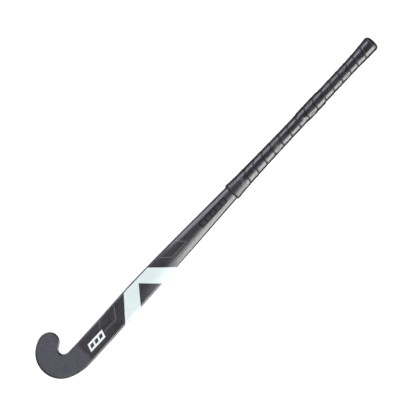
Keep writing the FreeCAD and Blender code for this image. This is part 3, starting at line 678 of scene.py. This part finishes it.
light_line = print_ink("outline_ink", (0.2, 0.2, 0.215), (0.145, 0.145, 0.157), 0.4)
core_foam = foam("core_foam", (0.72, 0.66, 0.47), (0.5, 0.44, 0.28), 900.0)
carbon = carbon_film()
underlay = foam("underlay_foam", (0.1, 0.1, 0.105), (0.05, 0.05, 0.055), 1200.0)
NODE_MATERIALS = {
    "laminate_shell": shell_lacquer(),
    "head_face_coat": head_matte(),
    "chevron_decal": print_ink("mint_ink", (0.725, 0.832, 0.836), (0.68, 0.79, 0.795), 0.38),
    "lower_carbon_film": carbon,
    "upper_carbon_film": carbon,
    "lower_outline_decal": light_line,
    "lower_outline_tick": light_line,
    "upper_outline_decal": light_line,
    "lower_emblem_decal": print_ink("white_ink", (0.86, 0.9, 0.9), (0.79, 0.84, 0.84), 0.38),
    "upper_emblem_decal": print_ink("tone_ink", (0.012, 0.012, 0.015), (0.007, 0.007, 0.009), 0.6,
                                    coat=0.0, gloss=0.12),
    "butt_cap": cap_rubber(),
    "head_core": foam("head_fibre", (0.55, 0.44, 0.3), (0.38, 0.29, 0.18), 500.0),
    "foam_core_toe_side": core_foam,
    "foam_core_heel_side": core_foam,
    "foam_core_web": woven_web(),
    "grip_underlay": underlay,
    "grip_build_up_band": underlay,
}
for node_name, node_material in NODE_MATERIALS.items():
    give(node_name, node_material)

wound_tape = spiral_wrap()
wound_tape.data.materials.append(grip_pu())
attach(wound_tape, "root")
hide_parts("grip_wrap")

finishing = sleeve("grip_finish_sleeve", FINISH_PROFILE)
finishing.data.materials.append(finishing_vinyl())
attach(finishing, "root")
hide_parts("grip_finishing_tape")

# ---------------------------------------------------------------- camera, floor and light

# Straight above the playing face, turned so that the handle points up and to the right.
VIEW_CENTRE = (-0.0029, -0.0139)
CAMERA_HEIGHT = 3.03
FACE_LEVEL = 0.03
VIEW_WIDTH = 0.82665
SENSOR = 36.0
HANDLE_TURN = 46.913
cam_data = bpy.data.cameras.new("camera")
cam = bpy.data.objects.new("camera", cam_data)
scene.collection.objects.link(cam)
cam_data.sensor_width = SENSOR
cam_data.lens = SENSOR * (CAMERA_HEIGHT - FACE_LEVEL) / VIEW_WIDTH
cam.location = (*VIEW_CENTRE, CAMERA_HEIGHT)
cam.rotation_euler = (0.0, 0.0, math.radians(-HANDLE_TURN))
scene.camera = cam


def paper():
    """White backdrop paper, lit from below as well so that no shadow pools round the stick."""
    m = Material("backdrop_paper", Emission_Color=(1.0, 1.0, 1.0, 1.0), Emission_Strength=0.62)
    fibre = m.noise(900.0, 3.0)
    base = m.mix(fibre, (0.9, 0.9, 0.9), (0.93, 0.93, 0.93))
    return m.finish(base, m.span(fibre, 0.3, 0.7, 0.85, 0.95), m.bump(fibre, 0.05, 0.05))


bpy.ops.mesh.primitive_plane_add(size=12.0, location=(0, 0, 0))
floor = bpy.context.object
floor.name = "floor"
floor.data.materials.append(paper())
floor.visible_glossy = False


def area_light(name, location, size, power, tint=(1.0, 1.0, 1.0), aim=(0.0, 0.0, 0.0)):
    """A softbox that faces a point of the stick, by default its middle."""
    data = bpy.data.lights.new(name, "AREA")
    data.color = tint
    data.shape = "RECTANGLE"
    data.size, data.size_y = size
    data.energy = power
    obj = bpy.data.objects.new(name, data)
    scene.collection.objects.link(obj)
    obj.location = location
    obj.rotation_euler = (Vector(aim) - Vector(location)).to_track_quat("-Z", "Y").to_euler()
    return obj


def side_strip(name, side, tilt, reach, ends, spread, radiance, tint):
    """A softbox along the stick, aimed at it: only its mirror image in the gloss is seen.

    side is -1 for the heel and 1 for the toe. tilt is its angle from straight above and spread
    the angle that it fills, in degrees. reach is its distance. ends are where it starts and ends
    in X.
    """
    length = ends[1] - ends[0]
    middle = (ends[0] + ends[1]) / 2.0
    height = 2.0 * reach * math.tan(math.radians(spread / 2.0))
    angle = math.radians(tilt)
    place = (middle, side * reach * math.sin(angle), reach * math.cos(angle))
    power = radiance * math.pi * length * height
    strip = area_light(name, place, (length, height), power, tint, (middle, 0.0, 0.0))
    strip.visible_diffuse = False
    strip.visible_camera = False


WARM = (1.0, 0.995, 0.98)
VIOLET = (0.98, 0.94, 1.08)
top = area_light("top_softbox", (0, 0, 3.6), (4.0, 4.0), 160.0)
top.visible_glossy = False
side_strip("heel_strip", -1.0, 60.0, 1.32, (-0.42, 0.1), 46.0, 11.2, WARM)
side_strip("heel_grip_strip", -1.0, 67.0, 1.32, (0.1, 1.2), 44.0, 11.0, WARM)
side_strip("heel_upper_strip", -1.0, 28.0, 1.5, (-1.2, 0.03), 16.0, 4.8, WARM)
side_strip("toe_strip", 1.0, 53.5, 1.4, (-1.2, 1.2), 23.0, 6.3, VIOLET)
side_strip("toe_grip_strip", 1.0, 78.0, 2.0, (0.06, 0.9), 18.0, 2.4, VIOLET)

world = bpy.data.worlds.new("studio")
scene.world = world
world.use_nodes = True
background = world.node_tree.nodes["Background"]
background.inputs["Color"].default_value = (1, 1, 1, 1)
background.inputs["Strength"].default_value = 0.1
scene.view_settings.view_transform = "Standard"
